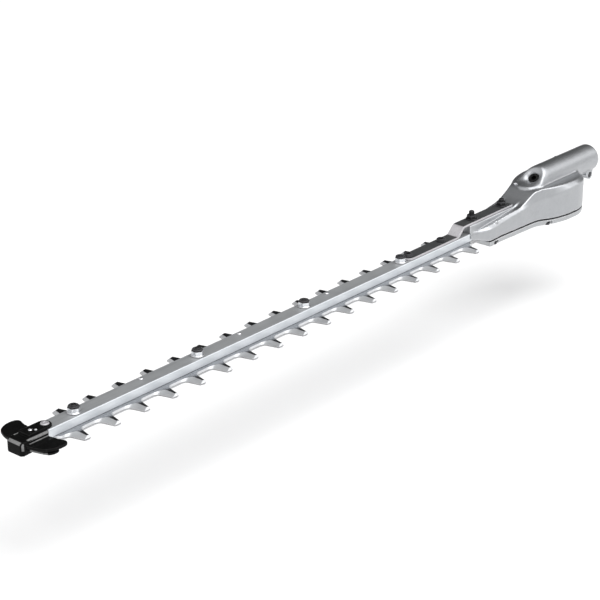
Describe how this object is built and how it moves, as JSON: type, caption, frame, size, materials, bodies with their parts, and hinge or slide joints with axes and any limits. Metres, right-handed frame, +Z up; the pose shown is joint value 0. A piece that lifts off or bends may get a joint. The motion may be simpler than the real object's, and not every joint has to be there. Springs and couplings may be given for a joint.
{
  "type": "hedge trimmer",
  "caption": "Pole hedge-trimmer head: double-sided reciprocating blades under a guide bar, black tip guard and a silver gear case with a socket for the pole.",
  "frame": {"origin": "where the crank's axis meets the flat underside of the bottom cover", "axes": "+X from the blades' tip to the pole socket, along the blades; +Y to the side whose teeth start half a pitch further back; +Z up, away from the flat underside"},
  "size_m": [0.8744, 0.0706, 0.0598],
  "materials": {
    "case_casting": "satin silver-grey cast aluminium with a fine sand texture",
    "cover_casting": "satin silver-grey cast aluminium, slightly lighter than the case",
    "gasket_rubber": "matt black moulded rubber",
    "bar_alloy": "drawn aluminium bar, fine lines along its length",
    "blade_steel": "ground tool steel with bright bevels and darker flats",
    "bracket_steel": "dark phosphated steel strip with bright worn edges",
    "guard_black": "black coated steel, worn to metal on its edges",
    "black_steel": "black oxide steel",
    "zinc_steel": "bright zinc-plated steel",
    "worn_steel": "bright worn steel",
    "gear_steel": "machined gear steel, lightly oiled",
    "bearing_steel": "polished bearing steel",
    "bronze": "sintered bronze"
  },
  "bodies": {
    "head": {"gear_case": "case_casting", "bottom_cover": "cover_casting", "cover_gasket": "gasket_rubber", "guide_bar": "bar_alloy", "bar_bracket": "bracket_steel", "tip_guard": "guard_black", "bracket_screw_1": "black_steel", "bracket_screw_2": "black_steel", "case_stud_1": "black_steel", "case_stud_2": "black_steel", "case_nut_1": "black_steel", "case_nut_2": "black_steel", "tip_bolt": "worn_steel", "tip_rivet_1": "worn_steel", "tip_rivet_2": "worn_steel", "grease_plug": "black_steel", "deck_pin": "zinc_steel", "clamp_bolt": "black_steel", "front_pinion_bearing": "bearing_steel", "rear_pinion_bearing": "bearing_steel", "pinion_circlip": "black_steel", "crank_top_bearing": "bearing_steel", "crank_bottom_bush": "bronze", "cover_screw_1": "black_steel", "cover_screw_2": "black_steel", "cover_screw_3": "black_steel", "cover_screw_4": "black_steel", "cover_screw_5": "black_steel", "cover_screw_6": "black_steel", "bar_rivet_1": "zinc_steel", "bar_rivet_2": "zinc_steel", "bar_rivet_3": "zinc_steel", "guide_bolt_1": "black_steel", "guide_bolt_2": "black_steel", "guide_bolt_3": "black_steel", "guide_bolt_4": "black_steel", "guide_nut_1": "zinc_steel", "guide_nut_2": "zinc_steel", "guide_nut_3": "zinc_steel", "guide_nut_4": "zinc_steel"},
    "pinion_body": {"input_pinion": "gear_steel"},
    "crank_body": {"crank_gear": "gear_steel", "crank_shaft": "gear_steel"},
    "upper_rod_body": {"upper_rod": "gear_steel", "upper_rod_bearing": "bearing_steel", "upper_rod_pin": "bearing_steel"},
    "lower_rod_body": {"lower_rod": "gear_steel", "lower_rod_bearing": "bearing_steel", "lower_rod_pin": "bearing_steel"},
    "upper_blade_body": {"upper_blade_front": "blade_steel", "upper_blade_rear": "blade_steel"},
    "lower_blade_body": {"lower_blade_front": "blade_steel", "lower_blade_rear": "blade_steel"}
  },
  "joints": [
    {"name": "crank_spin", "type": "hinge", "parent": "head", "child": "crank_body", "pos_m": [0, 0, 0], "axis": [0, 0, 1], "continuous": true},
    {"name": "pinion_spin", "type": "hinge", "parent": "head", "child": "pinion_body", "pos_m": [0.0235, 0, 0.0444], "axis": [1, 0, 0], "continuous": true},
    {"name": "upper_rod_orbit", "type": "hinge", "parent": "crank_body", "child": "upper_rod_body", "pos_m": [0, 0.00875, 0], "axis": [0, 0, 1], "continuous": true},
    {"name": "lower_rod_orbit", "type": "hinge", "parent": "crank_body", "child": "lower_rod_body", "pos_m": [0, -0.00875, 0], "axis": [0, 0, 1], "continuous": true},
    {"name": "upper_blade_slide", "type": "slide", "parent": "head", "child": "upper_blade_body", "axis": [1, 0, 0], "range_m": [-0.00875, 0.00875]},
    {"name": "lower_blade_slide", "type": "slide", "parent": "head", "child": "lower_blade_body", "axis": [1, 0, 0], "range_m": [-0.00875, 0.00875]}
  ],
  "couplings": [
    {"joint": "pinion_spin", "follows": "crank_spin", "ratio": 3},
    {"joint": "upper_rod_orbit", "follows": "crank_spin", "ratio": -1},
    {"joint": "lower_rod_orbit", "follows": "crank_spin", "ratio": -1},
    {"joint": "lower_blade_slide", "follows": "upper_blade_slide", "ratio": -1}
  ]
}
